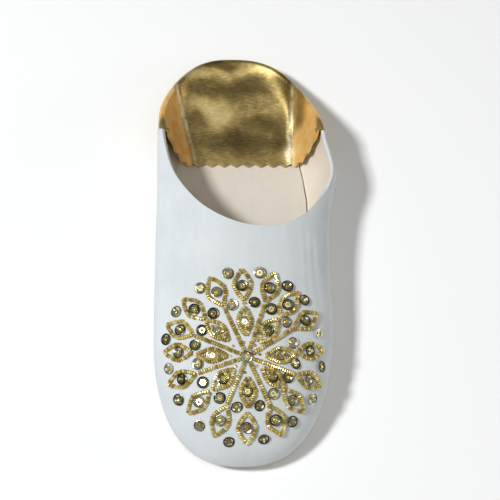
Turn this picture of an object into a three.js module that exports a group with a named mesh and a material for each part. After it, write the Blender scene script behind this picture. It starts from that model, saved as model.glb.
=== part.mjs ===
// A left babouche: a backless leather house slipper whose gold back part is trodden flat onto the insole.
// Millimetres, +Z up, toe towards -Y, heel towards +Y, outer side of the foot towards +X.
// Stations along the foot are distances behind the toe tip.
import * as THREE from "three";

// ---------------------------------------------------------------- driving dimensions
const LENGTH = 246; // toe tip to the fold at the back of the heel
const BALL_HALF = 50; // half the width over the upper at the ball
const TOE_ROUND = 80; // the toe's curve takes this much of the length
const TOE_POWER = 2.45; // superellipse power of the toe's outline
const SEAM = 189; // station of the side seams, where white quarters meet the gold back
const HEEL_ROUND = 56; // the heel's curve takes this much of the length
const HEEL_FULLNESS = 1.5; // how late the sides turn in towards the heel
const HEEL_BLUNTNESS = 0.75; // how square the back of the heel is

const SOLE_THICKNESS = 2.6;
const INSOLE_THICKNESS = 3;
const UPPER_WALL = 2; // outer leather and lining together
const BACK_WALL = 1.6; // the softer gold leather and its lining
const GAP = 0.3; // between pieces that touch
const SOLE_EDGE = 1.8; // the sole reaches this far out from the closing seam
const INSOLE_EDGE = 1.9; // the insole stops this far inside the closing seam

const TOE_SPRING = { from: 52, height: 3.4 };
const ARCH = { from: 108, to: 166, height: 1.2 };
const TOE_DOME = 30; // length in which the vamp rises from the toe tip to its crown line

const FOLD_INSET = 2.4; // half the breadth of the rounded fold along the top of the back part
const PINKING = { depth: 2, panelLobes: 8, sideLobes: 4, columnsPerLobe: 4 };

// The widest line of the upper seen from above: its middle, its half width between the toe's and the
// heel's curves, and how far the walls lean out from the sole to the outer side of the foot.
const PLAN = [
  { station: 0, middle: -2.3, half: 50, lean: 0 },
  { station: 20, middle: -1.5, half: 50, lean: 0 },
  { station: 55, middle: -0.8, half: 50, lean: 0 },
  { station: 80, middle: 0, half: 50, lean: 0 },
  { station: 108, middle: -0.2, half: 49.3, lean: 0 },
  { station: 136, middle: 0.3, half: 49, lean: 0.6 },
  { station: 151, middle: 1.4, half: 49.6, lean: 2 },
  { station: 162, middle: 2.6, half: 50.6, lean: 3 },
  { station: 172, middle: 2.1, half: 50.1, lean: 2.6 },
  { station: 184, middle: 0.3, half: 48.1, lean: 0.8 },
  { station: 190, middle: 0.1, half: 47.6, lean: 0 },
  { station: 211, middle: -1.8, half: 47.9, lean: 0 },
  { station: 229, middle: -2.5, half: 47.9, lean: 0 },
  { station: 246, middle: -2.3, half: 47.9, lean: 0 },
];

// The wall at each station: height of its widest line, rise of the crown above that line,
// how far the closing seam is tucked in under it, and the power of the curve between the two.
const WALL = [
  { station: 0, widest: 11, rise: 20.5, tuck: 4, power: 2 },
  { station: 20, widest: 12, rise: 23, tuck: 4, power: 2 },
  { station: 40, widest: 15, rise: 25.5, tuck: 4.2, power: 2 },
  { station: 60, widest: 17, rise: 28, tuck: 4.5, power: 2 },
  { station: 80, widest: 18, rise: 29.5, tuck: 4.6, power: 2 },
  { station: 100, widest: 19.5, rise: 30, tuck: 5.2, power: 2 },
  { station: 125, widest: 22, rise: 30, tuck: 6.5, power: 1.9 },
  { station: 145, widest: 27, rise: 26.5, tuck: 8.5, power: 1.7 },
  { station: 160, widest: 32, rise: 21.5, tuck: 10.5, power: 1.5 },
  { station: 175, widest: 35, rise: 16, tuck: 11.5, power: 1.5 },
  { station: 190, widest: 35.5, rise: 15, tuck: 11.5, power: 1.5 },
  { station: 205, widest: 29.5, rise: 4, tuck: 9, power: 1.6 },
  { station: 220, widest: 20.5, rise: 2.6, tuck: 6.5, power: 1.8 },
  { station: 232, widest: 14.3, rise: 2.5, tuck: 5, power: 2 },
  { station: 246, widest: 11.6, rise: 2.4, tuck: 4, power: 2 },
];

// The collar seen from above, from the left seam round the throat to the right seam.
const COLLAR = [
  { x: -45.4, station: 189 },
  { x: -43.9, station: 179 },
  { x: -39.4, station: 162 },
  { x: -31.6, station: 148.6 },
  { x: -20, station: 136.4 },
  { x: -5.2, station: 128.2 },
  { x: 10.5, station: 125.6 },
  { x: 25, station: 129 },
  { x: 35.5, station: 136.4 },
  { x: 43, station: 145.6 },
  { x: 48.9, station: 155.5 },
  { x: 51.3, station: 164 },
  { x: 49.8, station: 174 },
  { x: 47.4, station: 183 },
  { x: 46.6, station: 189 },
];
const THROAT = 6; // row of the collar's lowest point in plan

// Ribs of the upper: share of the outline from a seam to the toe tip, and the share of the collar
// from the same seam to the throat that it runs up to.
const RIBS = [
  { outline: 0, collar: 0 },
  { outline: 0.11, collar: 0.27 },
  { outline: 0.69, collar: 0.6 },
  { outline: 1, collar: 1 },
];

// Front edge of the trodden flap, from the left seam's top over the feet of the two creases to the
// right seam's top.
const FLAP = [
  { x: -41.8, station: 190.3, height: 36.8 },
  { x: -27.2, station: 181, height: 8.3 },
  { x: 29.8, station: 181, height: 8.3 },
  { x: 43.2, station: 190.3, height: 36.8 },
];
// How far the edge of a side facet sags forward and down between its corners.
const FLAP_SAG = { forward: 3.2, down: 2 };
// Where each crease leaves the fold, as a share of the heel's curve.
const CREASE = { left: 0.47, right: 0.49 };
// The flap's middle lies flat on the insole in front and climbs towards the back of the heel. Off
// that bed it turns up to the fold, and the side facets run straight from the fold to their edge.
const BED = { from: 181, to: 243, rise: 4.8, power: 3.2 };
const TURN_UP = 5; // how close to the fold the flap leaves its bed

// Grid sizes
const UPPER_GRID = { around: 76, under: 5, over: 10 };
const BACK_GRID = { under: 4, fold: 4, flap: 11 };
const SOLE_GRID = { toe: 12, waist: 16, heel: 12 };

// ---------------------------------------------------------------- small tools
const mix = THREE.MathUtils.lerp;
const clamp = THREE.MathUtils.clamp;
const yOf = (station) => station - LENGTH / 2;

// Smooth curve through one column of a table, flat-ended and never overshooting a row.
function column(table, key, along = "station") {
  const at = table.map((row) => row[along]);
  const value = table.map((row) => row[key]);
  const rise = (i) => (value[i + 1] - value[i]) / (at[i + 1] - at[i]);
  const slope = value.map((_, i) => {
    if (i === 0 || i === value.length - 1) return i === 0 ? rise(0) : rise(i - 1);
    const before = rise(i - 1);
    const after = rise(i);
    return before * after > 0 ? (2 * before * after) / (before + after) : 0;
  });
  return (t) => {
    let i = 0;
    while (i < at.length - 2 && t > at[i + 1]) i += 1;
    const span = at[i + 1] - at[i];
    const u = clamp((t - at[i]) / span, 0, 1);
    const start = (1 + 2 * u) * (1 - u) ** 2 * value[i] + u * (1 - u) ** 2 * slope[i] * span;
    const end = u ** 2 * (3 - 2 * u) * value[i + 1] + u ** 2 * (u - 1) * slope[i + 1] * span;
    return start + end;
  };
}

const middle = column(PLAN, "middle");
const plainHalf = column(PLAN, "half");
const widest = column(WALL, "widest");
const rise = column(WALL, "rise");
const tuck = column(WALL, "tuck");
const power = column(WALL, "power");
const lean = column(PLAN, "lean");

// Height of the sole's underside: flat under heel and forefoot, an arch between, a sprung toe.
function lift(station) {
  if (station < TOE_SPRING.from) {
    return TOE_SPRING.height * (1 - station / TOE_SPRING.from) ** 2;
  }
  if (station < ARCH.from || station > ARCH.to) return 0;
  const across = (station - ARCH.from) / (ARCH.to - ARCH.from);
  return (ARCH.height * (1 - Math.cos(2 * Math.PI * across))) / 2;
}

// ---------------------------------------------------------------- the last
// Half the width over the upper at a station.
function halfWidth(station) {
  if (station < TOE_ROUND) {
    const forward = clamp((TOE_ROUND - station) / TOE_ROUND, 0, 1);
    return BALL_HALF * (1 - forward ** TOE_POWER) ** (1 / TOE_POWER);
  }
  const back = clamp((station - (LENGTH - HEEL_ROUND)) / HEEL_ROUND, 0, 1);
  return plainHalf(station) * (1 - back ** HEEL_FULLNESS) ** (HEEL_BLUNTNESS / 2);
}

// Stations spaced so that the outline turns evenly: round the toe, along the waist, round the heel.
function toeStation(share) {
  return TOE_ROUND * (1 - Math.sin((share * Math.PI) / 2) ** (2 / TOE_POWER));
}
function heelStation(share) {
  return LENGTH - HEEL_ROUND + HEEL_ROUND * Math.sin((share * Math.PI) / 2) ** (2 / HEEL_FULLNESS);
}

// A point of the widest line; side is -1 on the inner side of the foot, 1 on the outer.
function outlinePoint(station, side) {
  return new THREE.Vector2(middle(station) + side * halfWidth(station), yOf(station));
}

// The outline's outward direction in plan.
function outlineNormal(station, side) {
  const step = 0.4;
  if (station <= 0) return new THREE.Vector2(0, -1);
  if (station >= LENGTH) return new THREE.Vector2(0, 1);
  const before = outlinePoint(Math.max(station - step, 0), side);
  const after = outlinePoint(Math.min(station + step, LENGTH), side);
  const along = after.sub(before).normalize();
  return new THREE.Vector2(side * along.y, -side * along.x);
}

// Height of the vamp over a point in plan.
function vampHeight(x, station) {
  const across = clamp((x - middle(station)) / Math.max(halfWidth(station), 1e-6), -1, 1);
  const forward = clamp(1 - station / TOE_DOME, 0, 1);
  const dome = Math.sqrt(1 - forward ** 2);
  return widest(station) + rise(station) * dome * Math.sqrt(1 - across ** 2);
}

// The part of a wall that curls in from the widest line to the closing seam with the sole.
function underWall(station, side, steps) {
  const top = outlinePoint(station, side);
  const out = outlineNormal(station, side);
  if (Math.abs(station - SEAM) < 1) out.set(side, 0);
  const foot = lift(station) + SOLE_THICKNESS + GAP;
  const bend = 2 / power(station);
  const reach = new THREE.Vector2(lean(station), 0).addScaledVector(out, tuck(station));
  return Array.from({ length: steps + 1 }, (_, i) => {
    const angle = ((i / steps) * Math.PI) / 2;
    const inset = 1 - Math.sin(angle) ** bend;
    const drop = (widest(station) - foot) * Math.cos(angle) ** bend;
    return new THREE.Vector3(top.x - reach.x * inset, top.y - reach.y * inset, widest(station) - drop);
  });
}

// ---------------------------------------------------------------- closed bodies from grids
// One closed body from two equal grids of points, the outer and inner face of a sheet.
function closedSheet(outer, inner) {
  const columns = outer.length;
  const rows = outer[0].length;
  const points = [...outer.flat(), ...inner.flat()];
  const faces = [];
  const quad = (a, b, c, d) => faces.push([a, b, c], [a, c, d]);
  const at = (i, j) => i * rows + j;
  const behind = (i, j) => columns * rows + at(i, j);
  for (let i = 0; i < columns - 1; i += 1) {
    for (let j = 0; j < rows - 1; j += 1) {
      quad(at(i, j), at(i + 1, j), at(i + 1, j + 1), at(i, j + 1));
      quad(behind(i, j), behind(i, j + 1), behind(i + 1, j + 1), behind(i + 1, j));
    }
    quad(at(i, 0), behind(i, 0), behind(i + 1, 0), at(i + 1, 0));
    quad(at(i, rows - 1), at(i + 1, rows - 1), behind(i + 1, rows - 1), behind(i, rows - 1));
  }
  for (let j = 0; j < rows - 1; j += 1) {
    quad(at(0, j), at(0, j + 1), behind(0, j + 1), behind(0, j));
    const last = columns - 1;
    quad(at(last, j), behind(last, j), behind(last, j + 1), at(last, j + 1));
  }
  return bodyOf(points, faces);
}

// Geometry with faces turned to point out of the body.
function bodyOf(points, faces) {
  const volume = faces.reduce((sum, [a, b, c]) => {
    return sum + points[a].dot(new THREE.Vector3().crossVectors(points[b], points[c]));
  }, 0);
  const index = faces.flatMap(([a, b, c]) => (volume > 0 ? [a, b, c] : [a, c, b]));
  const body = new THREE.BufferGeometry().setFromPoints(points);
  body.setIndex(index);
  body.computeVertexNormals();
  return body;
}

// The grid moved square to the sheet, towards the side where a rib's direction round the shoe
// crossed with its upward direction points. The first and last ribs stay in the plane of the seam.
function offset(grid, distance) {
  const last = grid.length - 1;
  const top = grid[0].length - 1;
  return grid.map((ribPoints, i) =>
    ribPoints.map((point, j) => {
      const around = grid[Math.min(i + 1, last)][j].clone().sub(grid[Math.max(i - 1, 0)][j]);
      const up = ribPoints[Math.min(j + 1, top)].clone().sub(ribPoints[Math.max(j - 1, 0)]);
      const normal = around.cross(up);
      if (i === 0 || i === last) normal.y = 0;
      return point.clone().addScaledVector(normal.normalize(), distance);
    }),
  );
}

// ---------------------------------------------------------------- outsole and insole
// Matching stations for the two sides of a plate, toe tip to heel.
function plateStations() {
  const share = (count, i) => i / count;
  const toe = Array.from({ length: SOLE_GRID.toe }, (_, i) => toeStation(1 - share(SOLE_GRID.toe, i)));
  const waist = Array.from({ length: SOLE_GRID.waist }, (_, i) =>
    mix(TOE_ROUND, LENGTH - HEEL_ROUND, share(SOLE_GRID.waist, i)),
  );
  const heel = Array.from({ length: SOLE_GRID.heel + 1 }, (_, i) =>
    heelStation(share(SOLE_GRID.heel, i)),
  );
  return [...toe, ...waist, ...heel];
}

// A plate that follows the sole's arch and toe spring; spread is its reach beyond the closing seam.
function plate(spread, bottom, thickness) {
  const edge = (side) =>
    plateStations().map((station) => {
      const point = outlinePoint(station, side);
      point.x -= lean(station);
      return point.addScaledVector(outlineNormal(station, side), spread - tuck(station));
    });
  const left = edge(-1);
  const right = edge(1);
  const level = (point, height) => {
    return new THREE.Vector3(point.x, point.y, lift(point.y + LENGTH / 2) + height);
  };
  const last = left.length - 1;
  const points = [];
  const ringOf = (height) => {
    const start = points.length;
    left.forEach((point) => points.push(level(point, height)));
    right.slice(1, last).forEach((point) => points.push(level(point, height)));
    const leftAt = (i) => start + i;
    const rightAt = (i) => (i === 0 ? start : i === last ? start + last : start + last + i);
    return { leftAt, rightAt };
  };
  const low = ringOf(bottom);
  const high = ringOf(bottom + thickness);
  const faces = [];
  const quad = (a, b, c, d) => {
    if (a !== b) faces.push([a, b, c]);
    if (c !== d) faces.push([a, c, d]);
  };
  for (let i = 0; i < last; i += 1) {
    quad(high.leftAt(i), high.rightAt(i), high.rightAt(i + 1), high.leftAt(i + 1));
    quad(low.rightAt(i), low.leftAt(i), low.leftAt(i + 1), low.rightAt(i + 1));
    quad(low.leftAt(i), high.leftAt(i), high.leftAt(i + 1), low.leftAt(i + 1));
    quad(high.rightAt(i), low.rightAt(i), low.rightAt(i + 1), high.rightAt(i + 1));
  }
  return bodyOf(points, faces);
}

// ---------------------------------------------------------------- upper
// Curve through some rows of the collar, seen from above.
function collarCurve(rows) {
  const points = rows.map((row) => new THREE.Vector3(row.x, yOf(row.station), 0));
  return new THREE.CatmullRomCurve3(points, false, "centripetal");
}
const COLLAR_CURVE = collarCurve(COLLAR);
const THROAT_SHARE = (() => {
  const whole = COLLAR_CURVE.getLengths(600);
  return whole[Math.round((THROAT / (COLLAR.length - 1)) * 600)] / whole[600];
})();

// Stations of the outline on one side, evenly spaced along its length from the seam to the toe tip.
function sideStations(side, count) {
  const steps = 400;
  const stations = [];
  for (let i = 0; i <= steps / 2; i += 1) stations.push(mix(SEAM, TOE_ROUND, i / (steps / 2)));
  for (let i = 1; i <= steps / 2; i += 1) stations.push(toeStation(i / (steps / 2)));
  const lengths = [0];
  for (let i = 1; i < stations.length; i += 1) {
    const step = outlinePoint(stations[i], side).distanceTo(outlinePoint(stations[i - 1], side));
    lengths.push(lengths[i - 1] + step);
  }
  const whole = lengths[lengths.length - 1];
  return Array.from({ length: count + 1 }, (_, i) => {
    const wanted = (whole * i) / count;
    let k = 1;
    while (k < lengths.length - 1 && lengths[k] < wanted) k += 1;
    const part = (wanted - lengths[k - 1]) / (lengths[k] - lengths[k - 1]);
    return clamp(mix(stations[k - 1], stations[k], clamp(part, 0, 1)), 0, SEAM);
  });
}

// One rib of the upper, from the closing seam out to the widest line and up to the collar.
function upperRib(station, side, collarPoint) {
  const under = underWall(station, side, UPPER_GRID.under);
  const start = under[under.length - 1];
  const over = Array.from({ length: UPPER_GRID.over }, (_, i) => {
    const share = 1 - Math.cos((((i + 1) / UPPER_GRID.over) * Math.PI) / 2);
    const x = mix(start.x, collarPoint.x, share);
    const y = mix(start.y, collarPoint.y, share);
    return new THREE.Vector3(x, y, vampHeight(x, y + LENGTH / 2));
  });
  return [...under, ...over];
}

function upperGrid() {
  const collarShare = column(RIBS, "collar", "outline");
  const half = UPPER_GRID.around / 2;
  const sideRibs = (side) =>
    sideStations(side, half).map((station, i) => {
      const share = collarShare(i / half);
      const onCollar = side < 0 ? share * THROAT_SHARE : 1 - share * (1 - THROAT_SHARE);
      return upperRib(station, side, COLLAR_CURVE.getPointAt(clamp(onCollar, 0, 1)));
    });
  const left = sideRibs(-1);
  const right = sideRibs(1).reverse();
  return [...left, ...right.slice(1)];
}

// ---------------------------------------------------------------- trodden back part
// Columns of the back part: the fold line's share from the left seam round the heel to the right.
function backColumns() {
  const { panelLobes, sideLobes, columnsPerLobe } = PINKING;
  const spans = [sideLobes, panelLobes, sideLobes];
  const columns = [];
  spans.forEach((lobes, part) => {
    const count = lobes * columnsPerLobe;
    for (let i = part === 0 ? 0 : 1; i <= count; i += 1) {
      columns.push({ part, within: i / count, lobe: i / columnsPerLobe });
    }
  });
  return columns;
}

// Station and side of the fold line: each side runs from its seam to the corner, then round the back.
function foldStation({ part, within }) {
  const seam = SEAM + GAP;
  if (part === 0) return { station: mix(seam, heelStation(CREASE.left), within), side: -1 };
  if (part === 2) return { station: mix(heelStation(CREASE.right), seam, within), side: 1 };
  const side = within < 0.5 ? -1 : 1;
  const crease = side < 0 ? CREASE.left : CREASE.right;
  const round = 1 - Math.abs(2 * within - 1);
  return { station: heelStation(mix(crease, 1, round)), side };
}

// Front edge of the flap before it is pinked. On the side facets it sags between its corners.
function flapEdge({ part, within }) {
  const a = FLAP[part];
  const b = FLAP[part + 1];
  const sag = part === 1 ? 0 : 4 * within * (1 - within);
  const station = mix(a.station, b.station, within) - FLAP_SAG.forward * sag;
  const height = mix(a.height, b.height, within) - FLAP_SAG.down * sag;
  return new THREE.Vector3(mix(a.x, b.x, within), yOf(station), height);
}

// How far a pinked lobe stands forward of that edge.
function scallop({ lobe }) {
  return (PINKING.depth * (1 - Math.cos(2 * Math.PI * lobe))) / 2;
}

// Height of the bed that the middle of the flap lies in.
function bedHeight(station) {
  const share = clamp((station - BED.from) / (BED.to - BED.from), 0, 1);
  return FLAP[1].height + BED.rise * share ** BED.power;
}

// How far a column follows the bed: fully between the creases, less and less up a side facet.
function bedShare({ part, within }) {
  if (part === 1) return 1;
  return (part === 0 ? within : 1 - within) ** 2;
}

// One rib: closing seam, wall, rounded fold, then down and forward to the flap's edge.
function backRib(place) {
  const { station, side } = foldStation(place);
  const under = underWall(station, side, BACK_GRID.under);
  const start = under[under.length - 1];
  const out = outlineNormal(station, side);
  if (place.within === 0 && place.part === 0) out.set(-1, 0);
  if (place.within === 1 && place.part === 2) out.set(1, 0);
  const height = foldHeight(station);
  const steepness = clamp((height - 3) / 3, 0, 1);
  const turn = mix(0.62, 0.8, steepness) * Math.PI;
  const fold = Array.from({ length: BACK_GRID.fold }, (_, i) => {
    const angle = (turn * (i + 1)) / BACK_GRID.fold;
    const inset = FOLD_INSET * (1 - Math.cos(angle));
    const z = start.z + height * Math.sin(angle);
    return new THREE.Vector3(start.x - out.x * inset, start.y - out.y * inset, z);
  });
  const crest = fold[fold.length - 1];
  const edge = flapEdge(place);
  const turnUp = crest.z - bedHeight(crest.y + LENGTH / 2);
  const flap = Array.from({ length: BACK_GRID.flap }, (_, i) => {
    const share = (i + 1) / BACK_GRID.flap;
    const y = mix(crest.y, edge.y, share);
    const lying = bedHeight(y + LENGTH / 2) + turnUp * (1 - share) ** TURN_UP;
    const z = mix(mix(crest.z, edge.z, share), lying, bedShare(place));
    return new THREE.Vector3(mix(crest.x, edge.x, share), y, z);
  });
  flap[flap.length - 1].y -= scallop(place);
  return [...under, ...fold, ...flap];
}

// Height of the fold above the widest line: the collar's height at the seams, a small roll behind.
function foldHeight(station) {
  return clamp(mix(4.4, FOLD_INSET, (station - SEAM) / 22), FOLD_INSET, 4.4);
}

// ---------------------------------------------------------------- assembly
const leather = (color, roughness) => new THREE.MeshStandardMaterial({ color, roughness });
const MATERIALS = {
  outsole: leather(0xb99a72, 0.8),
  insole: leather(0xded5c7, 0.7),
  upper: leather(0xdde1e4, 0.55),
  back: new THREE.MeshStandardMaterial({ color: 0xb08d46, roughness: 0.3, metalness: 0.9 }),
};

function piece(name, geometry, material) {
  const mesh = new THREE.Mesh(geometry, material);
  mesh.name = name;
  return mesh;
}

const upper = upperGrid();
const back = backColumns().map(backRib);
const slipper = new THREE.Group();
slipper.add(
  piece("outsole", plate(SOLE_EDGE, 0, SOLE_THICKNESS), MATERIALS.outsole),
  piece("insole", plate(-INSOLE_EDGE, SOLE_THICKNESS + GAP, INSOLE_THICKNESS), MATERIALS.insole),
  piece("upper", closedSheet(upper, offset(upper, -UPPER_WALL)), MATERIALS.upper),
  piece("heel_flap", closedSheet(back, offset(back, BACK_WALL)), MATERIALS.back),
);

// The origin is the middle of the footprint, on the floor.
const box = new THREE.Box3().setFromObject(slipper);
const centre = box.getCenter(new THREE.Vector3());
slipper.position.set(-centre.x, -centre.y, -box.min.z);

export default slipper;
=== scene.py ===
# %% [markdown]
# # A beaded babouche, piece by piece
# This lesson dresses a packed slipper: white leather vamp, cream lining, gold back part trodden
# flat, and a rosette of seed beads and sequins sewn on the vamp. The shape of the last is already
# in the frame that we load, so every piece below starts from it or is laid on it.
#
# Lengths are metres, and MM turns a maker's millimetres into them. The toe points to -Y, the heel
# to +Y, and the outer side of the foot is +X.

# %% Load the frame
import math
import random

import bmesh
import bpy
from mathutils import Matrix, Vector, noise
from mathutils.bvhtree import BVHTree


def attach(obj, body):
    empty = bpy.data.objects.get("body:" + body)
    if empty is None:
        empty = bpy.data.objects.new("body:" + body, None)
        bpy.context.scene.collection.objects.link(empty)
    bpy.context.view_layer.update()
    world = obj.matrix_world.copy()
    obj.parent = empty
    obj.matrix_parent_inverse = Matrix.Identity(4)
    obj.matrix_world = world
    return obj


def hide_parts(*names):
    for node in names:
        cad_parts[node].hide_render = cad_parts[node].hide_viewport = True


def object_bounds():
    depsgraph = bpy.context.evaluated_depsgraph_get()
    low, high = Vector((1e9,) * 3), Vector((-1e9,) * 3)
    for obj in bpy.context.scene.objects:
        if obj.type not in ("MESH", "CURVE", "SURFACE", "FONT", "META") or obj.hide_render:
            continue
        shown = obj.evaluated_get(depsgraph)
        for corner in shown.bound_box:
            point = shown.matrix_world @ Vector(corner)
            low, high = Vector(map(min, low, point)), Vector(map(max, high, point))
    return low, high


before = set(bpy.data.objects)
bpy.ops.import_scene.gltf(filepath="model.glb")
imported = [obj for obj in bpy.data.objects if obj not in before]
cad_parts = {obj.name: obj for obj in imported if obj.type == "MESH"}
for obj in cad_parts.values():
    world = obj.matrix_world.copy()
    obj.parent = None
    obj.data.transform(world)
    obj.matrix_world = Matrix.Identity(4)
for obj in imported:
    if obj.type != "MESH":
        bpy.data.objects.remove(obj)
cad_box = [list(corner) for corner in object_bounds()]
MM = 0.001
TOE_Y = cad_box[0][1]
HEEL_Y = cad_box[1][1]
BALL_X = cad_box[0][0] + 50.05 * MM  # the upper is widest on the inner side at the ball
print("slipper is", round((HEEL_Y - TOE_Y) / MM), "mm long")

# %% [markdown]
# ## Finding our way round the foot
# A shoemaker counts stations along the foot. Ours are distances behind the toe tip, so a crease or
# a row of stitches can be given by its station and read back by anyone with a ruler. Two soft
# curves go with them: a smooth step from 0 to 1, and a bell that fades to both sides of a line.

# %% Stations and smooth steps
def station_of(point):
    return point.y - TOE_Y


def smooth_step(low, high, value):
    t = min(max((value - low) / (high - low), 0.0), 1.0)
    return t * t * (3 - 2 * t)


def bell(distance, width):
    return math.exp(-((distance / width) ** 2))


# %% [markdown]
# ## Copying a piece out of the frame
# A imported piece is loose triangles, so a copy is merged first, its triangles are joined back into
# the quads that it was drawn with, and only then is it bevelled or subdivided.

# %% Start a piece from a node
def new_piece(name, mesh, *materials):
    """Puts a mesh into the scene as a piece, at the origin, with its materials."""
    for material in materials:
        mesh.materials.append(material)
    piece = bpy.data.objects.new(name, mesh)
    bpy.context.scene.collection.objects.link(piece)
    return piece


def copy_of(node, name):
    """A copy of a node's shape in quads, ready for edits, and the empty piece that it will fill."""
    bm = bmesh.new()
    bm.from_mesh(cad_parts[node].data)
    bmesh.ops.remove_doubles(bm, verts=bm.verts, dist=1e-6)
    bmesh.ops.join_triangles(
        bm,
        faces=bm.faces,
        angle_face_threshold=math.radians(55),
        angle_shape_threshold=math.radians(120),
    )
    for face in bm.faces:
        face.material_index = 0
    return new_piece(name, bpy.data.meshes.new(name)), bm


def close_up(piece, bm, *materials):
    """Writes the edited shape into its piece."""
    bm.to_mesh(piece.data)
    bm.free()
    for material in materials:
        piece.data.materials.append(material)
    piece.data.shade_smooth()
    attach(piece, "root")
    print(piece.name, len(piece.data.polygons), "faces")
    return piece


def subdivide(piece, levels):
    smooth = piece.modifiers.new("smooth", "SUBSURF")
    smooth.levels = levels
    smooth.render_levels = levels


def settle(piece):
    """Turns a piece's modifiers into real mesh, so that its points can be moved by hand."""
    bpy.context.view_layer.update()
    shape = piece.evaluated_get(bpy.context.evaluated_depsgraph_get())
    settled = bpy.data.meshes.new_from_object(shape)
    piece.modifiers.clear()
    piece.data = settled


def press(piece, push):
    """Moves every point along its normal by what push(point, normal) says."""
    bm = bmesh.new()
    bm.from_mesh(piece.data)
    bm.normal_update()
    moves = [(vert, vert.normal * push(vert.co, vert.normal)) for vert in bm.verts]
    for vert, move in moves:
        vert.co += move
    bm.to_mesh(piece.data)
    bm.free()
    piece.data.shade_smooth()


# %% [markdown]
# A leather wall has an outside, an inside, and narrow strips along its cut edges. The sharp edges
# between them could be picked by hand in the editor. Here they are found by their angle, which
# also sorts the faces into regions, and gives the lines on which seams and stitches run.

# %% Edges and regions of a wall
SHARP = 50  # degrees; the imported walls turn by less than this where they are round


def sharp_edges(bm, angle=SHARP):
    limit = math.radians(angle)
    return [e for e in bm.edges if len(e.link_faces) == 2 and e.calc_face_angle() > limit]


def soften(bm, edges, radius):
    bmesh.ops.bevel(
        bm,
        geom=edges,
        offset=radius,
        offset_type="OFFSET",
        segments=2,
        profile=0.5,
        affect="EDGES",
        clamp_overlap=True,
        material=-1,
    )


def regions(bm, angle=SHARP):
    """Groups of faces bounded by edges sharper than an angle, largest first."""
    limit = math.radians(angle)
    waiting = set(bm.faces)
    groups = []
    for first in bm.faces:  # a set has another order in each run, so the faces' own order leads
        if first not in waiting:
            continue
        waiting.remove(first)
        group = [first]
        for face in group:
            for edge in face.edges:
                if len(edge.link_faces) != 2 or edge.calc_face_angle() > limit:
                    continue
                for other in edge.link_faces:
                    if other in waiting:
                        waiting.remove(other)
                        group.append(other)
        groups.append(group)
    return sorted(groups, key=len, reverse=True)


def path_between(one, other):
    """Points along the edges shared by two groups of faces, from the inner end to the other."""

    def place(vert):
        return tuple(vert.co)

    other = set(other)
    links = {}
    for face in one:
        for edge in face.edges:
            if any(neighbour in other for neighbour in edge.link_faces):
                a, b = edge.verts
                links.setdefault(a, set()).add(b)
                links.setdefault(b, set()).add(a)
    ends = [vert for vert, near in links.items() if len(near) == 1]
    chain = [min(ends or links, key=place)]
    seen = set(chain)
    while True:
        onward = [vert for vert in links[chain[-1]] if vert not in seen]
        if not onward:
            return [vert.co.copy() for vert in chain]
        chain.append(min(onward, key=place))
        seen.add(chain[-1])


def walk(points, pitch, start=0.0):
    """Evenly spaced places and directions along a line of points."""
    places = []
    left = start
    for a, b in zip(points, points[1:]):
        length = (b - a).length
        if length < 1e-9:
            continue
        while left <= length:
            places.append((a.lerp(b, left / length), (b - a) / length))
            left += pitch
        left -= length
    return places


# %% [markdown]
# ## Materials
# Every finish is a Principled shader, and most have their own noise. One helper makes the nodes
# that they all share, so each material below only says what is special about it.

# %% Shader helpers
def new_material(name, base, roughness, metallic=0.0):
    material = bpy.data.materials.new(name)
    material.use_nodes = True
    nodes = material.node_tree.nodes
    shader = nodes["Principled BSDF"]
    shader.inputs["Base Color"].default_value = (*base, 1.0)
    shader.inputs["Roughness"].default_value = roughness
    shader.inputs["Metallic"].default_value = metallic
    return material


def link(material, output, target):
    material.node_tree.links.new(output, target)


def object_noise(material, scale, detail=3.0, stretch=(1, 1, 1), roughness=0.5):
    nodes = material.node_tree.nodes
    place = nodes.new("ShaderNodeTexCoord")
    mapping = nodes.new("ShaderNodeMapping")
    mapping.inputs["Scale"].default_value = stretch
    link(material, place.outputs["Object"], mapping.inputs["Vector"])
    texture = nodes.new("ShaderNodeTexNoise")
    texture.inputs["Scale"].default_value = scale
    texture.inputs["Detail"].default_value = detail
    texture.inputs["Roughness"].default_value = roughness
    link(material, mapping.outputs["Vector"], texture.inputs["Vector"])
    return texture.outputs["Fac"]


def ramp(material, value, stops):
    node = material.node_tree.nodes.new("ShaderNodeValToRGB")
    elements = node.color_ramp.elements
    for i, (position, colour) in enumerate(stops):
        element = elements[i] if i < 2 else elements.new(position)
        element.position = position
        element.color = (*colour, 1.0)
    link(material, value, node.inputs["Fac"])
    return node.outputs["Color"]


def bump(material, height, strength, distance, after=None):
    node = material.node_tree.nodes.new("ShaderNodeBump")
    node.inputs["Strength"].default_value = strength
    node.inputs["Distance"].default_value = distance
    link(material, height, node.inputs["Height"])
    if after is not None:
        link(material, after, node.inputs["Normal"])
    return node.outputs["Normal"]


def shader_of(material):
    return material.node_tree.nodes["Principled BSDF"]


# %% [markdown]
# ## Leathers
# Dyed leather is never one flat colour: broad clouds from the dyeing lie under fine streaks along
# the hide, and light catches in its pores and soft folds. An image of leather would tile and would
# need unwrapping, so two noises set the tone instead, and two more the relief. Each leather only
# says its two tones, how matt it is, and how coarse its pores and folds are.

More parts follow.
